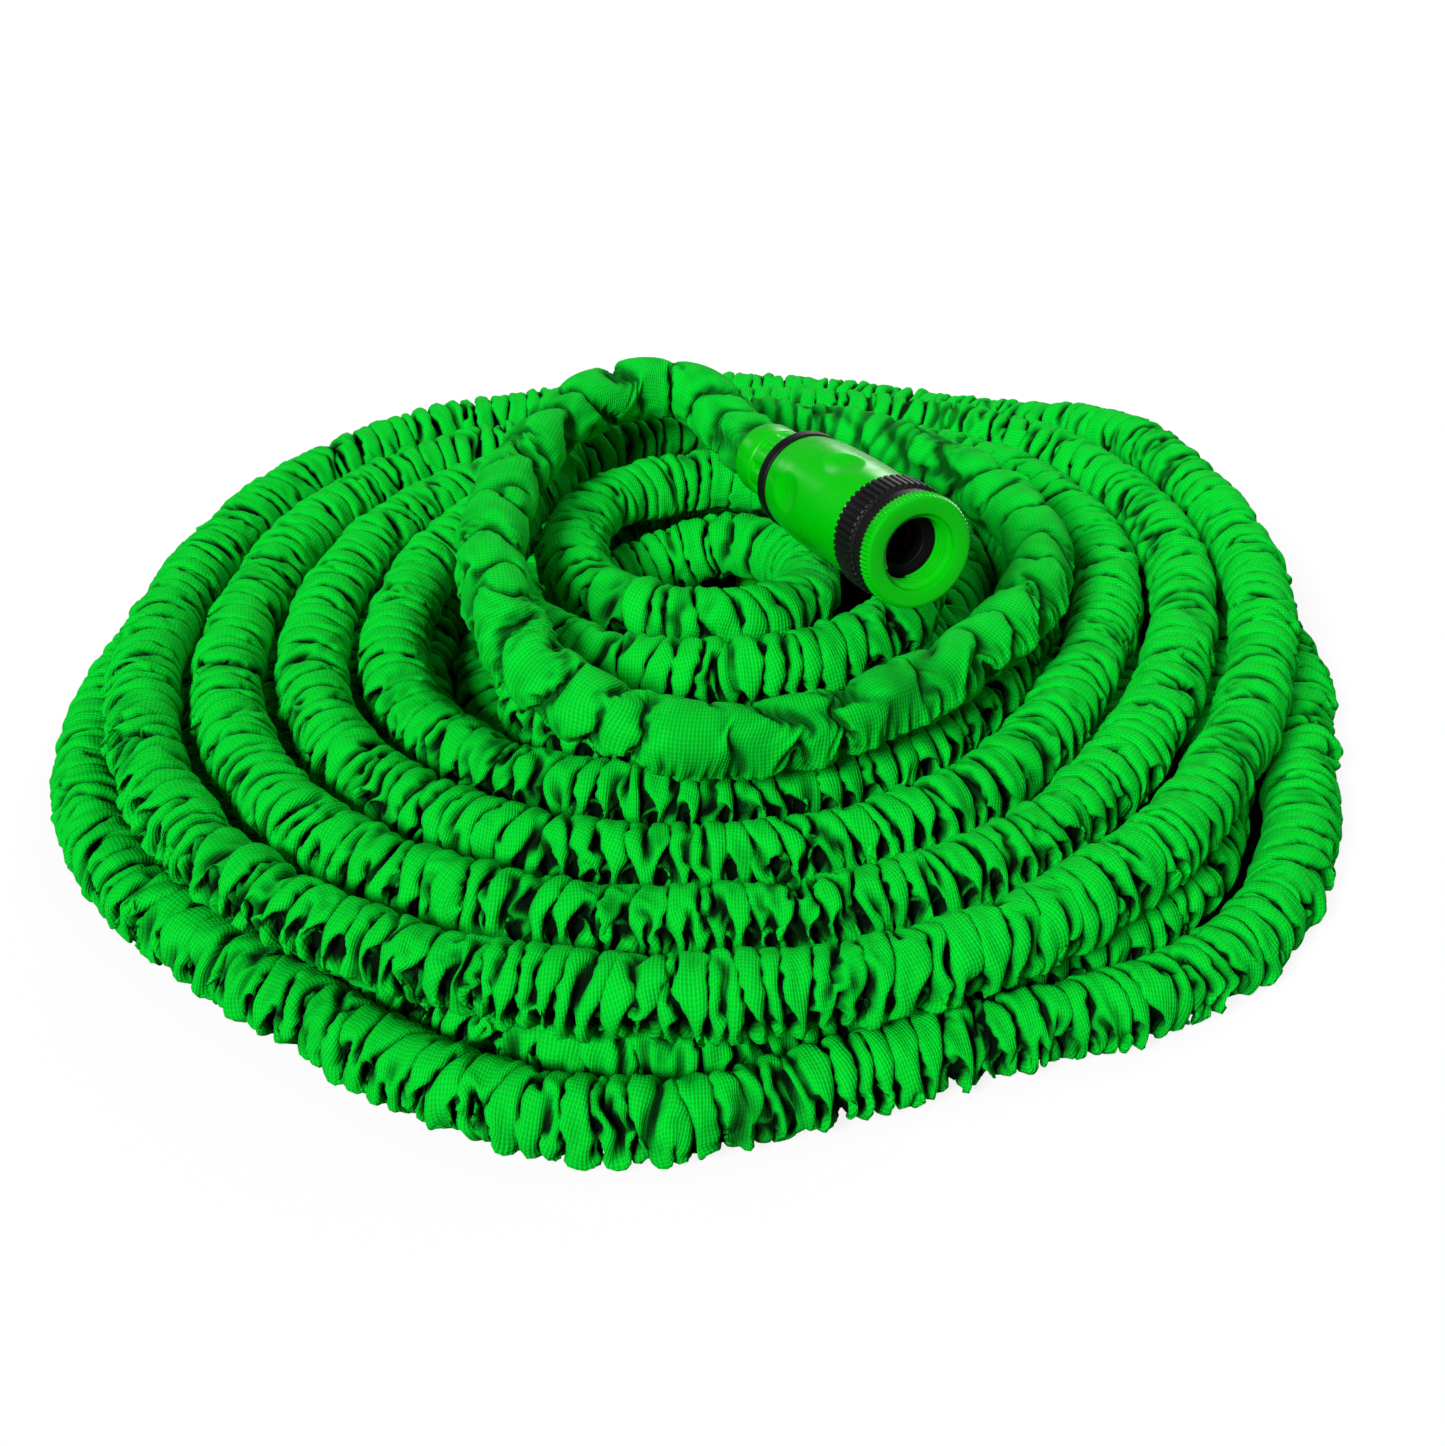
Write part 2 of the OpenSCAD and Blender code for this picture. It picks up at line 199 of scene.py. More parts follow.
# The cloth is a row of rings across the hose, 0.62 mm apart, with 58 points
# round each. The route's bends are eased first, over 9 mm either way.
spacing, around, eased_mm = 0.62, 58, 9
rings = int(hose_mm / spacing) + 1
line = evenly(np.concatenate([tail_line, coil_line[1:], lead_line]), rings)
reach = int(eased_mm / spacing)
soft = np.hanning(2 * reach + 1)
soft /= soft.sum()
held = np.concatenate([2 * line[0] - line[reach:0:-1], line, 2 * line[-1] - line[-2:-reach - 2:-1]])
line = np.stack([np.convolve(held[:, k], soft, "valid") for k in range(3)], -1)
spacing = hose_mm / (rings - 1)
heading = np.gradient(line, axis=0)
heading /= np.linalg.norm(heading, axis=1)[:, None]
sideways = np.cross(heading, [0, 0, 1])
sideways /= np.linalg.norm(sideways, axis=1)[:, None]
upward = np.cross(sideways, heading)
at = np.arange(rings)
from_far = at * spacing
to_tap = hose_mm - from_far

# How the slack gathers: the sleeve is let go as cloth round a straight length
# of hose whose two ends join, and that length is repeated along the real one.
# It keeps its own size both ways, folds no tighter than a knit can, and keeps
# off itself and off the inner tube. Along the hem, low on the outer side, it
# is longer than elsewhere, so it ruffles there.
girth, core_r, crown_r, hem_width = 64.0, 5.4, 11.1, 4.5
first_slack, cloth_gap, seam_gap, momentum = 1.1, 1.1, 1.0, 0.6
turn = 2 * np.pi * (np.arange(around) + 0.5) / around - np.pi / 2


# The cloth is slack times as long as the hose and folds about every pitch mm.
# The folds wander round the hose, and neck draws them in above the hem, which
# lies at the bearing hem_at and has hem_slack more cloth.
def gathered(count, slack, pitch, wander, hem_at, hem_slack, neck, seed, steps=160):
    rng = np.random.default_rng(seed)
    hem_at = math.radians(hem_at)
    above_hem = ((hem_at - turn + np.pi) % (2 * np.pi) - np.pi) * girth / (2 * np.pi)
    near_hem = np.exp(-(above_hem / hem_width) ** 2)
    hem = int(np.argmin(np.abs(above_hem)))
    per_mm = np.fft.fftfreq(count, spacing)
    lap = np.array([count * spacing, 0, 0], np.float32)

    # A random field on the sleeve, with about centre waves a mm along it.
    def waves(centre, width, across):
        field = np.zeros((count, around), complex)
        for m in range(-6, 7):
            wave = np.fft.fft(rng.normal(size=count) + 1j * rng.normal(size=count))
            wave = np.fft.ifft(wave * np.exp(-0.5 * ((per_mm - centre) / width) ** 2))
            field += math.exp(-0.5 * (m / across) ** 2) * wave[:, None] * np.exp(1j * m * turn)[None, :]
        return field / np.sqrt(np.mean(np.abs(field) ** 2))

    def ahead(points, k, j=0):
        moved = np.roll(points, (-k, -j), axis=(0, 1))
        if k:
            moved[-k:] += lap
        return moved

    # Moves each point and the one k rings and j points on towards their rest
    # distance, or only apart.
    def hold(points, k, j, rest, stiffness, push_only=False):
        gap = ahead(points, k, j) - points
        size = np.sqrt((gap * gap).sum(-1)) + 1e-6
        error = (size - rest) / size
        if push_only:
            error = np.minimum(error, 0)
        move = gap * (0.5 * stiffness * error)[:, :, None]
        return move - np.roll(move, (k, j), axis=(0, 1))

    # The cloth starts as a tube with low waves where the folds will come.
    folds = waves(1 / pitch, 0.62 / pitch, wander) * np.exp(1.9j * waves(0, 1 / 60, 1.2).real)
    angle, strength = np.angle(folds), np.clip(np.abs(folds) / 0.5, 0, 1)
    radius = girth / (2 * np.pi) - 1.5 + 2.1 * np.cos(angle) * strength
    home = (np.arange(count) * spacing)[:, None] + 0.5 * np.sin(angle) * strength
    points = np.stack([home, radius * np.cos(turn), radius * np.sin(turn)], -1)
    points = (points + 0.04 * rng.normal(size=points.shape)).astype(np.float32)
    home = home.astype(np.float32)
    widen = 0.02 - neck * np.exp(-((above_hem - 3) / hem_width) ** 2)
    widen = (np.sin(angle) * strength * widen).astype(np.float32)
    droop = (np.cos(angle) * strength * 0.035 * near_hem).astype(np.float32)

    # How far out the folds reach and how much cloth is in them both vary.
    reach = crown_r + 1.2 * np.exp(-(above_hem / 2.5) ** 2) + 0.7 * waves(0, 1 / 11, 2.5).real
    reach = np.clip(reach + 0.6 * waves(0, 1 / 40, 0.9).real, 8.8, 12.6).astype(np.float32)
    fuller = np.clip(1 + 0.15 * waves(0, 1 / 40, 0.7).real, 0.75, 1.3).astype(np.float32)
    round_rest = girth / around
    speed = np.zeros_like(points)
    for n in range(steps):
        grown = min(1, (n + 1) / (0.7 * steps))
        rest = spacing * (first_slack + (slack - first_slack) * grown) * (1 + hem_slack * near_hem * grown)
        rest = rest.astype(np.float32) * fuller

        # The cloth keeps its own size, and resists shear and bending.
        move = hold(points, 1, 0, rest, 1.0) + hold(points, 0, 1, round_rest, 1.0)
        for j in (1, -1):
            move += hold(points, 1, j, np.hypot(rest, round_rest), 0.12)
        move += hold(points, 2, 0, 1.86 * rest, 0.30, True)
        move += hold(points, 0, 2, 1.96 * round_rest, 0.40, True)

        # Two layers of it keep their distance.
        for k in ((4, 5), (6, 8), (5, 7), (8, 4), (7, 10), (10, 6))[n % 6]:
            move += hold(points, k, 0, cloth_gap, 0.8, True)

        # The seam draws the hem together, and the folds widen and droop there.
        seam = points[:, hem + 1] - points[:, hem - 1]
        tight = 1 - seam_gap / (np.sqrt((seam * seam).sum(-1)) + 1e-6)
        seam *= (0.15 * grown * tight)[:, None]
        move[:, hem - 1] += seam
        move[:, hem + 1] -= seam
        radius = np.sqrt(points[:, :, 1] ** 2 + points[:, :, 2] ** 2)
        move[:, :, 0] += widen
        move[:, :, 1] -= droop * points[:, :, 2] / radius
        move[:, :, 2] += droop * points[:, :, 1] / radius
        speed = momentum * speed + (1 - momentum) * move
        points = points + speed
        points[:, :, 0] += 0.01 * (home - points[:, :, 0])

        # It stays between the inner tube and the folds' reach, less underneath.
        radius = np.sqrt(points[:, :, 1] ** 2 + points[:, :, 2] ** 2)
        below = step((-points[:, :, 2] / radius + math.sin(hem_at + 0.16)) / 0.30)
        points[:, :, 1:] *= (np.clip(radius, core_r, reach - 1.7 * below) / radius)[:, :, None]
    for _ in range(3):
        beside = ahead(points, 1) + ahead(points, 0, 1) + ahead(points, 0, -1) + np.roll(points, 1, axis=0)
        beside[0] -= lap
        points = 0.78 * points + 0.055 * beside
    return points.astype(float)


# A slow random change along the whole hose, over about length mm.
def drift(length, seed):
    rng = np.random.default_rng(seed)
    wave = np.fft.fft(rng.normal(size=rings))
    wave = np.fft.ifft(wave * np.exp(-0.5 * (np.fft.fftfreq(rings, spacing) * length) ** 2)).real
    return wave / wave.std()


def repeated(laps, **how):
    count = math.ceil(rings / laps)
    lap = gathered(count, **how)[at % count]
    lap[:, :, 0] += (at // count * count * spacing)[:, None]
    return lap


# In some stretches the folds lie close as even bands, in others the hem opens
# into pits. The last turn before the tap end is pulled nearly smooth.
banded_slack, opened_slack, calm_slack, calm_rings = 2.5, 2.4, 1.27, int(790 / spacing)
local = repeated(8, slack=banded_slack, pitch=8.0, wander=1.1, hem_at=200, hem_slack=0.55, neck=0.025, seed=5)
on_floor = from_far < tail_mm + length_along(floor_line(np.linspace(0, floor_turns, 3000)))[-1]
opened = np.where(on_floor, (line[:, 0] - 10) / 60, 0.8 + drift(150, 51))
pitted = repeated(6, slack=opened_slack, pitch=7.2, wander=1.0, hem_at=190, hem_slack=0.8, neck=0.065, seed=5)
local += (pitted - local) * step(0.5 + opened)[:, None, None]
calm = step((760 - to_tap) / 330)[-calm_rings:, None, None]
smooth = gathered(calm_rings, slack=calm_slack, pitch=22.0, wander=1.9, hem_at=195, hem_slack=0.3,
                  neck=0.03, seed=6)
smooth[:, :, 0] += (rings - calm_rings) * spacing
local[-calm_rings:] += (smooth - local[-calm_rings:]) * calm
slack = np.full(rings, banded_slack)
slack[-calm_rings:] += (calm_slack - banded_slack) * calm[:, 0, 0]

# The sleeve twists a little on the inner tube, and both ends are squeezed into
# even pleats by the connector nuts.
nut_hold, nut_ease = 15, 14
pleats, pleat_r, pleat_depth = 13, 8.35, 0.22
ends = (step((from_far - nut_hold) / nut_ease) * step((to_tap - nut_hold) / nut_ease))[:, None]
twist = (0.28 * drift(190, 52) * ends[:, 0])[:, None]
across, high = local[:, :, 1].copy(), local[:, :, 2].copy()
local[:, :, 1] = across * np.cos(twist) - high * np.sin(twist)
local[:, :, 2] = across * np.sin(twist) + high * np.cos(twist)
pleat = pleat_r + pleat_depth * np.cos(pleats * turn)
straight = np.stack([np.repeat(from_far[:, None], around, 1), (pleat * np.cos(turn))[None, :] + 0 * twist,
                     (pleat * np.sin(turn))[None, :] + 0 * twist], -1)
local = straight + (local - straight) * ends[:, :, None]
place = np.clip(local[:, :, 0], 0, hose_mm)


def on_hose(values):
    return np.stack([np.interp(place, from_far, values[:, k]) for k in range(3)], -1)


# What would sink into the floor is pressed flat on it instead.
lowest, pressed = 0.15, 0.45
cloth = on_hose(line) + on_hose(sideways) * local[:, :, 1:2] + on_hose(upward) * local[:, :, 2:3]
low = cloth[:, :, 2]
flattened = lowest + pressed * np.exp((low - (lowest + pressed)) / 1.2)
cloth[:, :, 2] = np.where(low < lowest + pressed, flattened, low)

# The knit follows the cloth, so its ribs are counted in real millimetres over
# every fold, and its courses round the hose. Depth is 0 deep in a crease and 1
# on a crest, both from the inner tube out and against the rings either side.
# It sets the shade that is painted into the cloth's colour in the creases.
knit_u = np.repeat(np.cumsum(slack * spacing)[:, None], around, 1)
beside = 15
radius = np.hypot(local[:, :, 1], local[:, :, 2])
near = np.cumsum(np.pad(radius, ((8, 7), (0, 0)), "edge"), axis=0)
near = (near[beside:] - near[:-beside]) / beside
depth = np.clip((radius - 6.9) / 3.1, 0, 1) * np.clip(0.74 + (radius - near) / 1.3, 0.06, 1)
# The calm last turn gets less painted shade in its creases.
depth[-calm_rings:] += (1 - depth[-calm_rings:]) * 0.16 * calm[:, :, 0]


def linear(hex_colour):
    srgb = [int(hex_colour[i:i + 2], 16) / 255 for i in (1, 3, 5)]
    return [c / 12.92 if c <= 0.04045 else ((c + 0.055) / 1.055) ** 2.4 for c in srgb] + [1.0]


def add(tree, kind, settings=None, links=None):
    node = tree.nodes.new("ShaderNode" + kind)
    for key, value in (settings or {}).items():
        if isinstance(key, str) and hasattr(node, key):
            setattr(node, key, value)
        else:
            node.inputs[key].default_value = value
    for key, source in (links or {}).items():
        tree.links.new(source, node.inputs[key])
    return node


def finish_named(name, base, roughness, **more):
    mat = bpy.data.materials.new(name)
    mat.use_nodes = True
    shader = mat.node_tree.nodes["Principled BSDF"]
    shader.inputs["Base Color"].default_value = linear(base)
    shader.inputs["Roughness"].default_value = roughness
    for key, value in more.items():
        shader.inputs[key.replace("_", " ")].default_value = value
    return mat, mat.node_tree, shader


# Knitted polyester, dyed in the yarn: matt, with a faint sheen at grazing
# angles and fine ribs round the hose. Shade is painted into its colour in the creases.
# The ribs are 0.8 mm apart and are drawn at 0.95 mm so that they show, with
# courses 1.2 mm apart. A wave's band is 0.314 mm wide at a scale of 1. The dye
# is patchy over about 11 mm.
rib_scale, course_scale, patch_scale = 0.3307, 0.262, 0.09
knit, tree, shader = finish_named("knitted_polyester", "#009C26", 0.9,
                                  Sheen_Weight=0.03, Sheen_Roughness=0.5, Specular_IOR_Level=0.06)
shader.inputs["Sheen Tint"].default_value = linear("#38FF70")
lie = add(tree, "Attribute", {"attribute_name": "cloth_lie"}).outputs["Vector"]
parts = add(tree, "SeparateXYZ", links={"Vector": lie})
rib = add(tree, "TexWave", {"wave_type": "BANDS", "bands_direction": "X", "Scale": rib_scale,
                            "Distortion": 0.5, "Detail": 1.0, "Detail Scale": 1.2}, {"Vector": lie})
course = add(tree, "TexWave", {"wave_type": "BANDS", "bands_direction": "Y", "Scale": course_scale,
                               "Distortion": 0.6, "Detail": 1.0, "Detail Scale": 1.2}, {"Vector": lie})
dye = add(tree, "TexNoise", {"Scale": patch_scale, "Detail": 3.0}, {"Vector": lie})
yarn = add(tree, "Math", {"operation": "MULTIPLY_ADD", 1: 0.5},
           {0: course.outputs["Fac"], 2: rib.outputs["Fac"]})
# Painted shade: the colour runs from near black deep in a crease to full green on a crest.
crease_shade = add(tree, "ValToRGB", links={0: parts.outputs["Z"]})
crease_shade.color_ramp.elements[0].color = linear("#000F03")
crease_shade.color_ramp.elements[1].color = linear("#00C22A")
crease_shade.color_ramp.elements[1].position = 0.98
shade = add(tree, "ValToRGB", links={0: yarn.outputs[0]})
shade.color_ramp.elements[0].color = (0.58, 0.62, 0.60, 1)
blotch = add(tree, "ValToRGB", links={0: dye.outputs["Fac"]})
blotch.color_ramp.elements[0].color = (0.80, 0.84, 0.80, 1)
blotch.color_ramp.elements[0].position = 0.3
blotch.color_ramp.elements[1].position = 0.7
woven = add(tree, "Mix", {"data_type": "RGBA", "blend_type": "MULTIPLY", 0: 1.0},
            {6: crease_shade.outputs["Color"], 7: shade.outputs["Color"]})
patchy = add(tree, "Mix", {"data_type": "RGBA", "blend_type": "MULTIPLY", 0: 0.5},
             {6: woven.outputs[2], 7: blotch.outputs["Color"]})
tree.links.new(patchy.outputs[2], shader.inputs["Base Color"])
raised = add(tree, "Bump", {"Strength": 0.50, "Distance": 0.00030}, {"Height": yarn.outputs[0]})
tree.links.new(raised.outputs["Normal"], shader.inputs["Normal"])


# A length of sleeve is a flat grid, laid on the cloth ring by ring, joined
# into a tube and closed at both ends.
def sleeve_piece(name, first, last, stride):
    pick = list(range(first, last, stride)) + [last]
    gaps = len(pick) - 1
    bm = bmesh.new()
    bmesh.ops.create_grid(bm, x_segments=around, y_segments=gaps, size=1.0)
    mesh = bpy.data.meshes.new(name)
    bm.to_mesh(mesh)
    bm.free()
    grid = np.empty(len(mesh.vertices) * 3, np.float32)
    mesh.vertices.foreach_get("co", grid)
    grid = grid.reshape(-1, 3)
    column = np.rint((grid[:, 0] + 1) / 2 * around).astype(int)
    ring = np.array(pick)[np.rint((grid[:, 1] + 1) / 2 * gaps).astype(int)]
    spot = ring, column % around
    mesh.vertices.foreach_set("co", (cloth[spot] * to_m).astype(np.float32).ravel())
    round_mm = girth / math.tau * (turn[column % around] + math.tau * (column // around))
    # The third part is the depth that sets the painted shade in the creases.
    lie_at = np.stack([knit_u[spot], round_mm, depth[spot]], -1)
    corner = np.empty(len(mesh.loops), np.int32)
    mesh.loops.foreach_get("vertex_index", corner)
    layer = mesh.attributes.new("cloth_lie", "FLOAT_VECTOR", "CORNER")
    layer.data.foreach_set("vector", lie_at[corner].astype(np.float32).ravel())
    bm = bmesh.new()
    bm.from_mesh(mesh)
    bmesh.ops.remove_doubles(bm, verts=[v for v in bm.verts if v.is_boundary], dist=1e-7)
    rims = [e for e in bm.edges if e.is_boundary]
    bmesh.ops.holes_fill(bm, edges=rims, sides=0)
    bmesh.ops.recalc_face_normals(bm, faces=bm.faces)
    for face in bm.faces:
        face.smooth = True
    for edge in rims:
        edge.smooth = False
    bm.to_mesh(mesh)
    bm.free()
    mesh.materials.append(knit)
    return in_scene(name, mesh)


# It is sewn as one sleeve. Here it is made in lengths, each gathered on from
# the last, with a coarser first one where the loops above hide it.
hidden_mm, most_triangles, shortest_mm, path_stride = 1900, 190000, 5, 12
coarse_to = int((tail_mm + hidden_mm) / spacing)
lengths = math.ceil((rings - 1 - coarse_to) * around * 2 / most_triangles)
cuts = [0] + [round(c) for c in np.linspace(coarse_to, rings - 1, lengths + 1)]
stretches = [("hose_tail", 0, tail_mm), ("hose_coil", tail_mm, tail_mm + coil_mm),
             ("hose_lead", tail_mm + coil_mm, hose_mm)]
for k, (first, last) in enumerate(zip(cuts, cuts[1:])):
    sleeve = sleeve_piece(f"sleeve_length_{k + 1}", first, last, 2 if k == 0 else 1)
    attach(sleeve, "hose")
    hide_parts(*[node for node, start, end in stretches
                          if first * spacing < end - shortest_mm and last * spacing > start + shortest_mm])

# ------------------------------------------------------------ connector nuts
# A fluted nut screws over the barb at each end of the hose and squeezes the
# sleeve and the inner tube on it. Injection moulded, glossy green plastic.
nut_r, neck_r = 11.0, 10.5
flutes, flute_r, flute_axis_r = 10, 2.2, 12.3
flute_from, flute_to, flute_run = -15.8, -5.2, 1.0
tap_place = (Matrix.Translation(Vector(tap_at)) @ Matrix.Rotation(math.radians(tap_heading), 4, "Z")
             @ Matrix.Rotation(math.radians(90 - tap_climb), 4, "Y"))
far_place = Matrix.Translation(Vector(far_at)) @ Matrix.Rotation(math.radians(-90), 4, "X")
ends_of_hose = {"tap_end": tap_place, "far_end": far_place}


# A profile of radii and places along the axis is turned round the axis.
def turned(profile, steps):
    bm = bmesh.new()
    verts = [bm.verts.new((r, 0, s)) for r, s in profile]
    edges = [bm.edges.new((a, b)) for a, b in zip(verts, verts[1:] + verts[:1])]
    bmesh.ops.spin(bm, geom=verts + edges, cent=(0, 0, 0), axis=(0, 0, 1), angle=math.tau,
                   steps=steps, use_merge=True)
    bmesh.ops.remove_doubles(bm, verts=bm.verts, dist=1e-5)
    bmesh.ops.recalc_face_normals(bm, faces=bm.faces)
    return bm


def round_axis(v):
    return math.hypot(v.co.x, v.co.y), math.atan2(v.co.y, v.co.x)


def drawn_in(v, r, new_r):
    v.co.x *= new_r / r
    v.co.y *= new_r / r


def finished(bm, name, place, body, mat, crisp=32):
    bm.transform(Matrix.Scale(to_m, 4) @ place)
    bmesh.ops.recalc_face_normals(bm, faces=bm.faces)
    for face in bm.faces:
        face.smooth = True
    for edge in bm.edges:
        edge.smooth = len(edge.link_faces) == 2 and edge.calc_face_angle(0) < math.radians(crisp)
    mesh = bpy.data.meshes.new(name)
    bm.to_mesh(mesh)
    bm.free()
    mesh.materials.append(mat)
    piece = in_scene(name, mesh)
    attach(piece, body)
    return piece


# Glossy ABS, moulded in polished steel: clear highlights, a very faint
# waviness from shrinkage and a few dull handling marks.
mark_mm, shrink_mm = 6.25, 11.11
green_abs, tree, shader = finish_named("moulded_green_abs", "#00AC05", 0.24, Specular_IOR_Level=0.2)
where = add(tree, "TexCoord").outputs["Object"]
smear = add(tree, "TexNoise", {"Scale": 1 / (mark_mm * to_m), "Detail": 4.0}, {"Vector": where})
dull = add(tree, "MapRange", {"From Min": 0.3, "From Max": 0.75, "To Min": 0.20, "To Max": 0.36},
           {"Value": smear.outputs["Fac"]})
tree.links.new(dull.outputs["Result"], shader.inputs["Roughness"])
sink = add(tree, "TexNoise", {"Scale": 1 / (shrink_mm * to_m), "Detail": 1.0}, {"Vector": where})
wavy = add(tree, "Bump", {"Strength": 0.12, "Distance": 0.0006}, {"Height": sink.outputs["Fac"]})
tree.links.new(wavy.outputs["Normal"], shader.inputs["Normal"])

flute_rows = (-16.1, -15.6, -15.2, -14.6, -13, -10.5, -8, -6.4, -5.8, -5.3, -4.8, -4.2)
for end, place in ends_of_hose.items():
    bm = turned([(8.9, -28.5), (9.7, -28.5), (10.15, -28.3), (neck_r, -27.9), (10.8, -27.2),
                 (nut_r, -26.1), (nut_r, -22), (nut_r, -18.3), (10.9, -17.9), (neck_r, -17.5),
                 (10.45, -17.2), (neck_r, -16.9), (10.9, -16.5), *[(nut_r, s) for s in flute_rows],
                 (10.85, -3.5), (10.55, -2.8), (10.2, -2.5), (9.45, -2.5), (9.45, -13), (8.9, -13)], 180)
    for v in bm.verts:
        r, a = round_axis(v)
        off = flute_axis_r * math.sin((a + math.pi / flutes) % (math.tau / flutes) - math.pi / flutes)
        if r > 10 and flute_from < v.co.z < flute_to and abs(off) < flute_r:
            run_in = min(1, (v.co.z - flute_from) / flute_run, (flute_to - v.co.z) / flute_run)
            cut = math.sqrt(flute_axis_r ** 2 - off ** 2) - math.sqrt(flute_r ** 2 - off ** 2)
            drawn_in(v, r, r + (min(cut, r) - r) * math.sin(run_in * math.pi / 2))
    nut = finished(bm, f"fluted_nut_{end}", place, "hose", green_abs)
    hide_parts(f"nut_{end}")

# ------------------------------------------------------------ inner hose tube
# The water runs in a stretchy latex tube inside the sleeve. Only its clamped
# ends are made, because nothing else of it can be seen. Dipped, with a fine
# bloom on its skin.
bloom_mm = 2.5
latex, tree, shader = finish_named("dipped_latex", "#CDBD8A", 0.55, Subsurface_Weight=0.1)
where = add(tree, "TexCoord").outputs["Object"]
bloom = add(tree, "TexNoise", {"Scale": 1 / (bloom_mm * to_m), "Detail": 2.0}, {"Vector": where})
skin = add(tree, "Bump", {"Strength": 0.2, "Distance": 0.0002}, {"Height": bloom.outputs["Fac"]})
tree.links.new(skin.outputs["Normal"], shader.inputs["Normal"])


def dressed(node, mat):
    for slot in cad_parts[node].material_slots:
        slot.material = mat


for end in ends_of_hose:
    dressed(f"inner_tube_{end}", latex)

# ------------------------------------------------- grip rings and lock pawls
# A split ring under each nut bites on the sleeve, and three small pawls in the
# connector hold the nose that is pushed in. Both are moulded white acetal,
# slightly cloudy where it flowed.
flow_mm = 4.545
acetal, tree, shader = finish_named("moulded_acetal", "#E6E4DC", 0.38)
where = add(tree, "TexCoord").outputs["Object"]
flow = add(tree, "TexNoise", {"Scale": 1 / (flow_mm * to_m), "Detail": 3.0}, {"Vector": where})
flowing = add(tree, "MapRange", {"To Min": 0.30, "To Max": 0.46}, {"Value": flow.outputs["Fac"]})
tree.links.new(flowing.outputs["Result"], shader.inputs["Roughness"])
for end in ends_of_hose:
    dressed(f"grip_ring_{end}", acetal)
    for pawl in "abc":
        dressed(f"pawl_{pawl}_{end}", acetal)

# ------------------------------------------------------------ connector cores
# The black core carries the barb, the pawl windows and the socket. Moulded in
# glass filled nylon, which gives a satin black with a fine grain and duller
# patches.
grain_mm, patch_mm = 1.111, 8.333
nylon, tree, shader = finish_named("glass_filled_nylon", "#0B0B0C", 0.5, Specular_IOR_Level=0.19)
where = add(tree, "TexCoord").outputs["Object"]
grain = add(tree, "TexNoise", {"Scale": 1 / (grain_mm * to_m), "Detail": 2.0}, {"Vector": where})
satin = add(tree, "Bump", {"Strength": 0.25, "Distance": 0.00012}, {"Height": grain.outputs["Fac"]})
patch = add(tree, "TexNoise", {"Scale": 1 / (patch_mm * to_m), "Detail": 3.0}, {"Vector": where})
worn_patch = add(tree, "MapRange", {"To Min": 0.42, "To Max": 0.58}, {"Value": patch.outputs["Fac"]})
tree.links.new(satin.outputs["Normal"], shader.inputs["Normal"])
tree.links.new(worn_patch.outputs["Result"], shader.inputs["Roughness"])
for end in ends_of_hose:
    dressed(f"core_{end}", nylon)

# ------------------------------------------------------------ release sleeves
# The long green barrel slides back on the core to let the pawls out. It has
# shallow finger dents in two staggered rows, and is moulded like the nuts.
dent_w, dent_l, dent_depth = 11.2, 14.8, 1.5
dents = [(60 * i + 12, 17 if i % 2 == 0 else 31) for i in range(6)]
barrel_from, barrel_rows = 2.6, 46
barrel_s = (2.1, 6, 11, 16, 22, 34, 44, 47.2)
barrel_r = (14.55, 15.05, 15.5, 15.75, 15.8, 15.75, 15.35, 15.2)
for end, place in ends_of_hose.items():
    outline = [(13.2, 1.5), (14.05, 1.5), (14.35, 1.65), (14.55, 2.1)]
    for k in range(barrel_rows):
        s = barrel_from + k
        outline.append((float(np.interp(s, barrel_s, barrel_r)), s))
    outline += [(15.1, 48.1), (14.85, 48.45), (14.5, 48.6), (13.75, 48.6), (13.75, 44.1),
                (11.75, 38.5), (11.75, 26), (13.2, 24.5)]
    bm = turned(outline, 144)
    for v in bm.verts:
        r, a = round_axis(v)
        if r > 14.2:
            for dent_at, dent_s in dents:
                off = math.radians((math.degrees(a) - dent_at + 180) % 360 - 180) * r
                within = (off / (dent_w / 2)) ** 2 + ((v.co.z - dent_s) / (dent_l / 2)) ** 2
                if within < 1:
                    cut = r - dent_depth * (1 - within)
                    drawn_in(v, r, cut)
                    r = cut
    barrel = finished(bm, f"release_barrel_{end}", place, f"{end[:3]}_release", green_abs)
    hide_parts(f"release_sleeve_{end}")

# ---------------------------------------------------------------- trim rings
# A black rubber-like ring is pressed on the back of each release sleeve and
# gives the fingers an edge to pull on. Moulded soft, so it is evenly matt.
cloud_mm = 2.0
soft_black, tree, shader = finish_named("moulded_soft_black", "#070708", 0.5, Specular_IOR_Level=0.13)
where = add(tree, "TexCoord").outputs["Object"]
matt = add(tree, "TexNoise", {"Scale": 1 / (cloud_mm * to_m), "Detail": 2.0}, {"Vector": where})
matted = add(tree, "MapRange", {"To Min": 0.42, "To Max": 0.58}, {"Value": matt.outputs["Fac"]})
tree.links.new(matted.outputs["Result"], shader.inputs["Roughness"])
pull_r, pull_bore = 15.0, 11.6
for end, place in ends_of_hose.items():
    bm = turned([(pull_bore, -2.9), (14.3, -2.9), (14.7, -2.75), (14.93, -2.45), (pull_r, -2.0),
                 (pull_r, 0.6), (14.93, 1.0), (14.7, 1.3), (14.3, 1.45), (pull_bore, 1.45)], 144)
    ring = finished(bm, f"pull_ring_{end}", place, f"{end[:3]}_release", soft_black,
                    crisp=50)
    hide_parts(f"trim_ring_{end}")

# --------------------------------------------------------------- tap adaptor
# The adaptor's nose sits in the socket, and its ribbed collar is what a hand
# turns to screw it on a tap. Black nylon, with a pipe thread cut inside.
nose_r, groove_r, collar_r, lip_r, bore_r = 7.95, 6.05, 16.4, 15.2, 13.1
ribs, rib_depth = 54, 0.62
thread_pitch, thread_flat = 1.814, 0.28


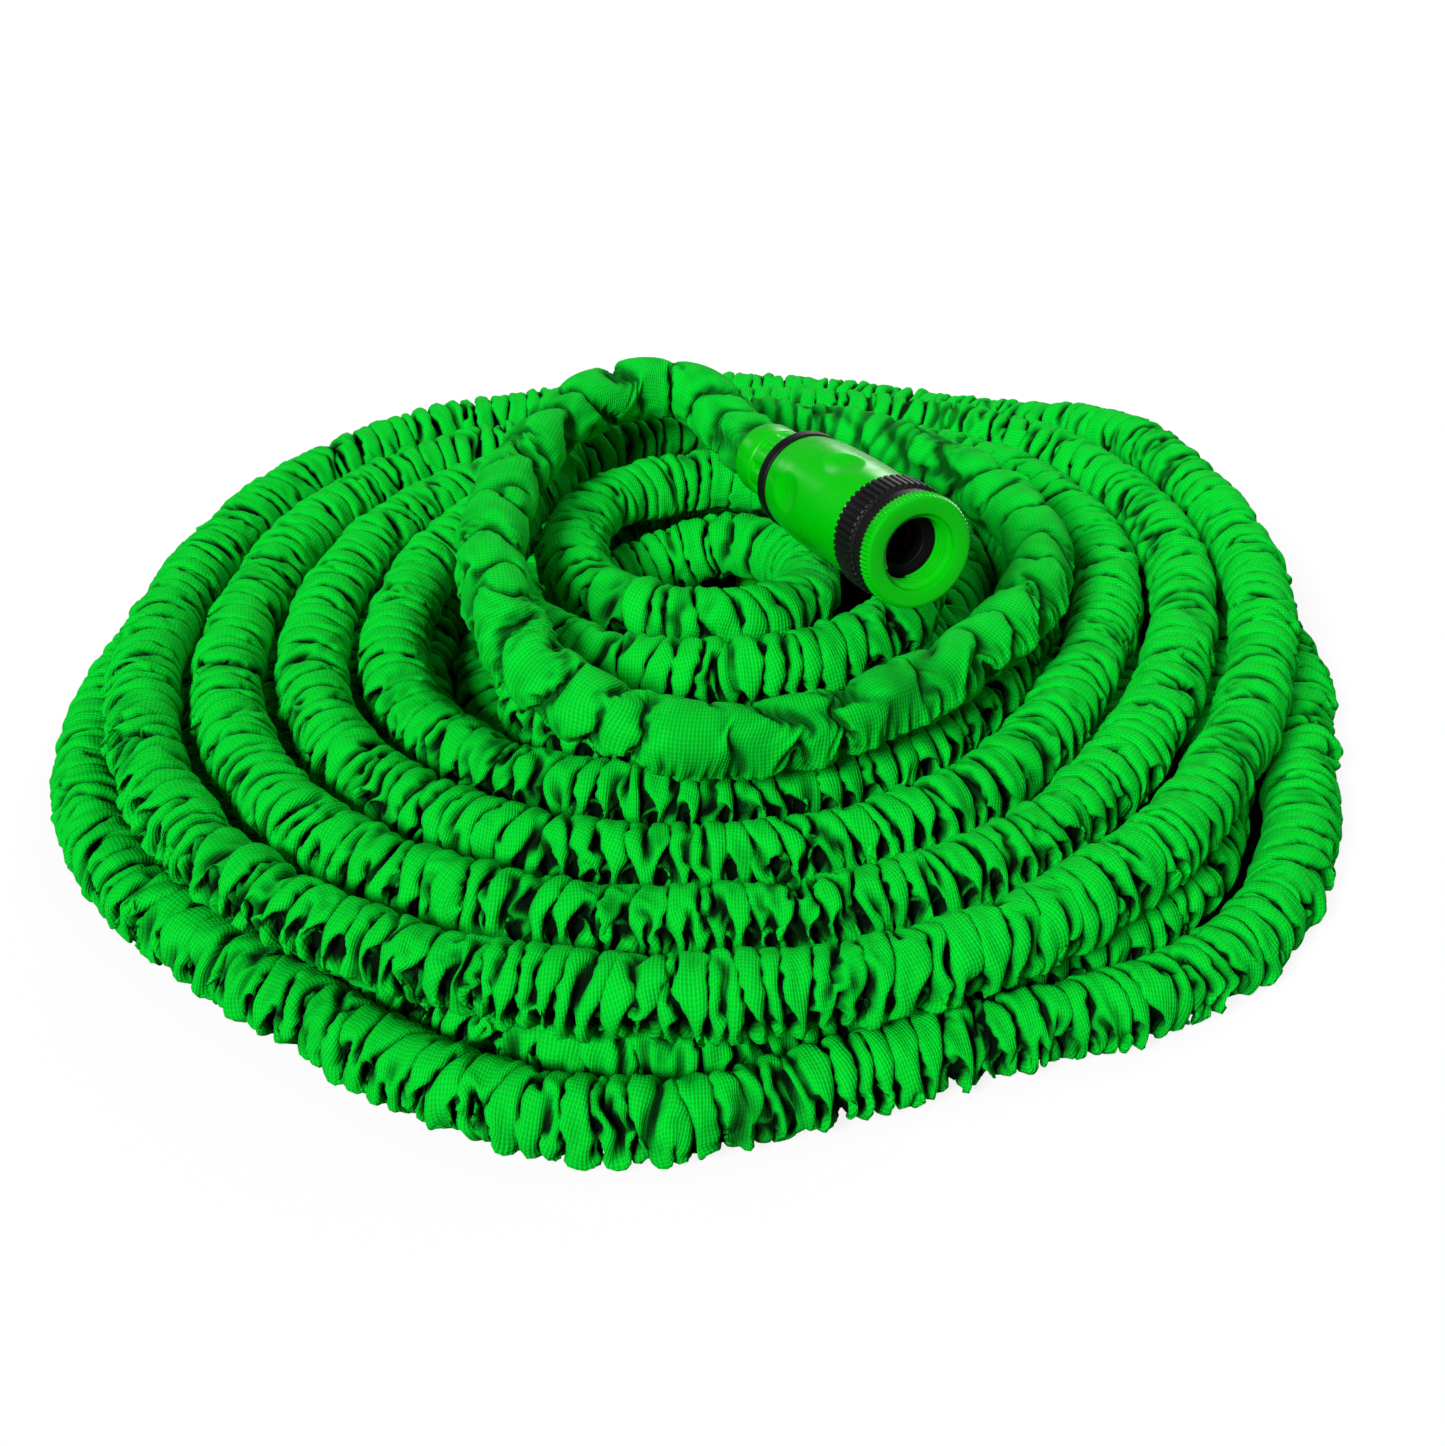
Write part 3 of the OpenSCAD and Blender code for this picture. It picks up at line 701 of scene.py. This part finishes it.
def thread(bm, r_root, r_crest, s0, turns, per_turn=72):
    half = thread_pitch * 0.46
    corners = [(r_root, -half), (r_crest, -thread_flat / 2), (r_crest, thread_flat / 2), (r_root, half)]
    grown = bmesh.new()
    verts = [grown.verts.new((r, 0, s0 + s)) for r, s in corners]
    edges = [grown.edges.new((a, b)) for a, b in zip(verts, verts[1:] + verts[:1])]
    bmesh.ops.spin(grown, geom=verts + edges, cent=(0, 0, 0), axis=(0, 0, 1),
                   dvec=(0, 0, thread_pitch / per_turn), angle=math.tau * turns,
                   steps=int(per_turn * turns), use_merge=False)
    bmesh.ops.holes_fill(grown, edges=[e for e in grown.edges if e.is_boundary], sides=0)
    bmesh.ops.recalc_face_normals(grown, faces=grown.faces)
    spare = bpy.data.meshes.new("thread_turns")
    grown.to_mesh(spare)
    grown.free()
    bm.from_mesh(spare)
    bpy.data.meshes.remove(spare)


bm = turned([(4.6, 16.8), (7.3, 16.8), (7.8, 17.3), (nose_r, 18), (nose_r, 22), (groove_r, 22),
             (groove_r, 24.2), (nose_r, 24.2), (nose_r, 32.2), (6.7, 32.2), (6.7, 39.2), (nose_r, 39.2),
             (nose_r, 47), (9.5, 49.4), (15.5, 49.4), (15.9, 49.5), (16.25, 49.75), (collar_r, 50.2),
             (collar_r, 52), (collar_r, 55), (collar_r, 57.6), (16.3, 58.5), (15.95, 58.9), (15.45, 59.05),
             (lip_r, 59.2), (lip_r, 62.9), (15.05, 63.25), (14.7, 63.4), (bore_r, 63.4), (bore_r, 53),
             (4.6, 53)], 648)
for v in bm.verts:
    r, a = round_axis(v)
    if r > 15.7 and 49.45 < v.co.z < 58.95:
        off_rib = abs((a / math.tau * ribs + 0.5) % 1 - 0.5)
        drawn_in(v, r, r - rib_depth * min(1, max(0, (off_rib - 0.26) / 0.10)))
thread(bm, 13.12, 12.1, 55.6, 3.6)
adaptor = finished(bm, "ribbed_collar", tap_place, "adaptor", nylon, crisp=28)
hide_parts("adaptor")

# ------------------------------------------------------------------- reducer
# A green ring with a milled rim screws into the adaptor and narrows it to the
# smaller tap thread. Both its threads are moulded, right handed.
rim_r, stem_r, tap_bore_r, water_r = 16.0, 12.2, 10.55, 6.5
scallops, scallop_depth = 80, 0.45
bm = turned([(water_r, 54.6), (stem_r, 54.6), (stem_r, 63.6), (14.9, 63.6), (15.5, 63.75), (15.85, 64.1),
             (rim_r, 64.6), (rim_r, 65.6), (rim_r, 66.5), (15.85, 67.1), (15.5, 67.6), (14.9, 67.95),
             (14.5, 68), (10.9, 68), (10.7, 67.9), (10.6, 67.6), (tap_bore_r, 67.2), (tap_bore_r, 66.8),
             (tap_bore_r, 57), (water_r, 57)], 720)
for v in bm.verts:
    r, a = round_axis(v)
    if r > 15.2 and 63.7 < v.co.z < 67.7:
        ridge = abs((a / math.tau * scallops) % 1 - 0.5) * 2
        drawn_in(v, r, r - scallop_depth * (1 - ridge ** 1.6) * min(1, (67.75 - v.co.z) / 0.5))
thread(bm, 10.57, 9.25, 59.6, 3.8)
thread(bm, 12.18, 13.0, 55.7, 4.0)
reducer = finished(bm, "milled_reducer", tap_place, "reducer", green_abs, crisp=35)
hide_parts("reducer")

# --------------------------------------------------------- washers and o-ring
# Flat washers seal each thread and a ring in the nose's groove seals the
# socket. The reducer's washer has a thin lip that lines the hole behind it.
# All are black nitrile rubber, moulded, and a little dusty in patches.
washer_r, lip_bore_r, dust_mm = 10.1, 6.25, 3.333
nitrile, tree, shader = finish_named("nitrile_rubber", "#070708", 0.62, Specular_IOR_Level=0.16)
where = add(tree, "TexCoord").outputs["Object"]
dust = add(tree, "TexNoise", {"Scale": 1 / (dust_mm * to_m), "Detail": 4.0}, {"Vector": where})
dusty = add(tree, "MapRange", {"To Min": 0.50, "To Max": 0.78}, {"Value": dust.outputs["Fac"]})
tree.links.new(dusty.outputs["Result"], shader.inputs["Roughness"])
for node in ("adaptor_o_ring", "adaptor_washer"):
    dressed(node, nitrile)
bm = turned([(lip_bore_r, 54.7), (6.48, 54.7), (6.48, 57.02), (9.95, 57.02), (washer_r, 57.15),
             (washer_r, 58.45), (9.95, 58.6), (6.45, 58.6), (lip_bore_r, 58.45)], 96)
washer = finished(bm, "flat_washer", tap_place, "reducer_washer", nitrile)
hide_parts("reducer_washer")

# ----------------------------------------------------------- floor and light
# A wide white floor in a plain studio. It shows white where it lies open, and
# keeps the pile's shadow. Inside the pile's outermost loop a near-black green is
# painted on it as shade.
floor_half, floor_white, gloss_white = 4, 0.86, 0.12
low_loops, under_hose, every = 13, 2, 3


# The background is white to the camera and through clear things, and faint in
# gloss, so that the plastic isn't washed out.
def shown_white(tree):
    ray = add(tree, "LightPath")
    seen = add(tree, "Math", {"operation": "MAXIMUM"},
               {0: ray.outputs["Is Camera Ray"], 1: ray.outputs["Is Transmission Ray"]})
    in_gloss = add(tree, "Math", {"operation": "MULTIPLY", 1: gloss_white}, {0: ray.outputs["Is Glossy Ray"]})
    shown = add(tree, "Math", {"operation": "MAXIMUM"}, {0: seen.outputs[0], 1: in_gloss.outputs[0]})
    return shown.outputs[0]


# Matt paper, grey to the light that it throws on the pile and pale to the eye.
paper, tree, shader = finish_named("white_paper", "#6C6C6C", 0.9, Specular_IOR_Level=0.0)
seen = shown_white(tree)
pale = add(tree, "Mix", {"data_type": "RGBA", 6: linear("#6C6C6C"), 7: linear("#EBEBEB")}, {0: seen})
tree.links.new(pale.outputs[2], shader.inputs["Base Color"])
glow = add(tree, "Emission", {"Color": (1, 1, 1, 1), "Strength": 1.0})
share = add(tree, "Math", {"operation": "MULTIPLY", 1: floor_white}, {0: seen})
mixed = add(tree, "MixShader", links={0: share.outputs[0], 1: shader.outputs[0], 2: glow.outputs[0]})
tree.links.new(mixed.outputs[0], tree.nodes["Material Output"].inputs["Surface"])
# Painted shade: a near-black green for the floor inside the pile, where the loops would shade it.
painted_shade_sheet = finish_named("painted_shade_under_pile", "#020A03", 0.9, Specular_IOR_Level=0.0)[0]

# The painted shade covers the floor inside the outermost low loop, 2 mm in from the hose's centre line.
flat = line[line[:, 2] < low_loops, :2] - (pile_x, pile_y)
bearing = np.degrees(np.arctan2(flat[:, 1], flat[:, 0]))
bm = bmesh.new()
around_pile = []
for angle in range(0, 360, every):
    facing = np.abs((bearing - angle + 180) % 360 - 180) < 2
    r = np.linalg.norm(flat[facing], axis=1).max() - under_hose
    around_pile.append(bm.verts.new(((pile_x + r * math.cos(math.radians(angle))) * to_m,
                                     (pile_y + r * math.sin(math.radians(angle))) * to_m, 0)))
corners = [bm.verts.new((x * floor_half, y * floor_half, 0)) for x, y in ((-1, -1), (1, -1), (1, 1), (-1, 1))]
edges = [bm.edges.new((a, b)) for loop in (around_pile, corners) for a, b in zip(loop, loop[1:] + loop[:1])]
bmesh.ops.triangle_fill(bm, edges=edges, use_beauty=True, normal=(0, 0, 1))
# This face gets the painted shade.
bm.faces.new(around_pile).material_index = 1
bmesh.ops.recalc_face_normals(bm, faces=bm.faces)
mesh = bpy.data.meshes.new("floor")
bm.to_mesh(mesh)
bm.free()
mesh.materials.append(paper)
mesh.materials.append(painted_shade_sheet)
floor = in_scene("floor", mesh)

world = bpy.data.worlds.new("studio")
bpy.context.scene.world = world
world.use_nodes = True
tree = world.node_tree
tree.nodes.clear()
room = add(tree, "Background", {"Color": (1, 1, 1, 1), "Strength": 0.05})
plain = add(tree, "Background", {"Color": (1, 1, 1, 1), "Strength": 1.0})
both = add(tree, "MixShader", links={0: shown_white(tree), 1: room.outputs[0], 2: plain.outputs[0]})
add(tree, "OutputWorld", links={"Surface": both.outputs[0]})


# Three square soft boxes give the plastic its highlights.
def soft_box(name, place, watts, size):
    light = bpy.data.lights.new(name, "AREA")
    light.shape = "RECTANGLE"
    light.energy, light.size, light.size_y = watts, size, size
    towards = Vector((0, 0, 0.03)) - Vector(place)
    turned_to = towards.to_track_quat("-Z", "Y").to_matrix().to_4x4()
    in_scene(name, light).matrix_world = Matrix.Translation(Vector(place)) @ turned_to


soft_box("softbox", (0.42, 0.05, 0.95), 2.4, 0.45)
soft_box("back_softbox", (0.30, 1.05, 0.42), 1.8, 0.50)
soft_box("left_softbox", (-0.80, 0.95, 0.26), 0.3, 0.20)


# Most of the light is a soft sun from the front left. Weaker ones come from
# the right and from behind.
def daylight(name, place, strength, spread):
    light = bpy.data.lights.new(name, "SUN")
    light.energy, light.angle = strength, math.radians(spread)
    in_scene(name, light).matrix_world = (-Vector(place)).to_track_quat("-Z", "Y").to_matrix().to_4x4()


daylight("key", (-0.62, -1.0, 0.85), 4.7, 18)
daylight("fill", (1.2, -0.6, 0.9), 0.22, 60)
daylight("back_light", (0.45, 1.0, 0.42), 1.3, 50)

bpy.context.view_layer.update()
